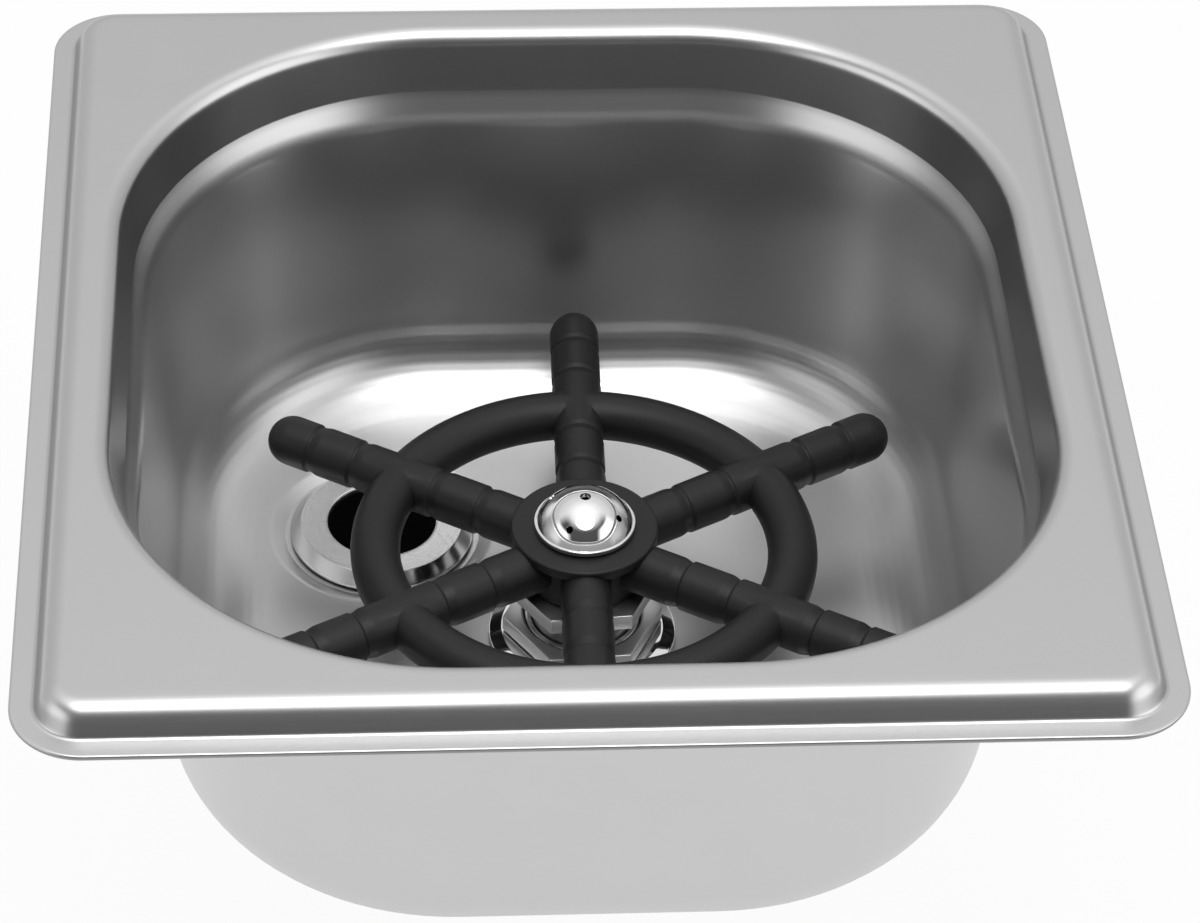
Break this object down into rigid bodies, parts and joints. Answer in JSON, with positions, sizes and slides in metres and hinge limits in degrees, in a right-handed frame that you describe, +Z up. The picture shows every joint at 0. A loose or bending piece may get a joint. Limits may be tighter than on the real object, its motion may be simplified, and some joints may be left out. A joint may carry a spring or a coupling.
{
  "type": "glass rinser",
  "caption": "Built-in glass rinser: steel basin hung by its flange in a worktop, with a push valve under a spoked press head, a spray nozzle and an open drain.",
  "frame": {"origin": "Centre of the rim in plan, in the plane of the lip's underside, which lies on the worktop round the cut-out.", "axes": "+Z is up, out of the worktop. +Y points away from the user, along the rim's longer side. +X points to the user's right."},
  "size_m": [0.162, 0.176, 0.1102],
  "materials": {
    "satin_steel": "satin stainless sheet, smooth drawn walls",
    "turned_steel": "stainless steel with fine turning lines",
    "chrome": "polished chrome plate on brass",
    "black_plastic": "black moulded plastic with a fine matt grain",
    "rubber": "black nitrile rubber",
    "zinc": "zinc-plated steel",
    "spring_steel": "bright stainless spring wire",
    "brass": "plain turned brass",
    "white_plastic": "white acetal"
  },
  "bodies": {
    "basin_assembly": {"basin": "satin_steel", "valve_body": "chrome", "valve_washer": "chrome", "valve_gasket": "rubber", "valve_under_gasket": "rubber", "valve_backing_washer": "zinc", "valve_locknut": "zinc", "guide_bush": "turned_steel", "seat_ring": "white_plastic", "inlet_filter": "white_plastic", "return_spring": "spring_steel", "drain_body": "turned_steel", "drain_gasket": "rubber", "drain_under_gasket": "rubber", "drain_backing_washer": "zinc", "drain_locknut": "zinc"},
    "spring_plate": {"thrust_washer": "white_plastic"},
    "press_head": {"press_wheel": "black_plastic", "nozzle_cap": "chrome", "nozzle_gasket": "rubber", "plunger": "chrome", "plunger_o_ring_upper": "rubber", "plunger_o_ring_lower": "rubber", "valve_disc": "rubber", "disc_washer": "brass", "disc_screw": "turned_steel"}
  },
  "joints": [
    {"name": "head_press", "type": "slide", "parent": "basin_assembly", "child": "spring_plate", "axis": [0, 0, -1], "range_m": [0, 0.005], "stiffness_N_per_m": 2000, "springref_m": -0.008, "deforming": ["return_spring"]},
    {"name": "head_turn", "type": "hinge", "parent": "spring_plate", "child": "press_head", "pos_m": [0.0021, 0.0011, -0.0413], "axis": [0, 0, 1], "continuous": true}
  ]
}
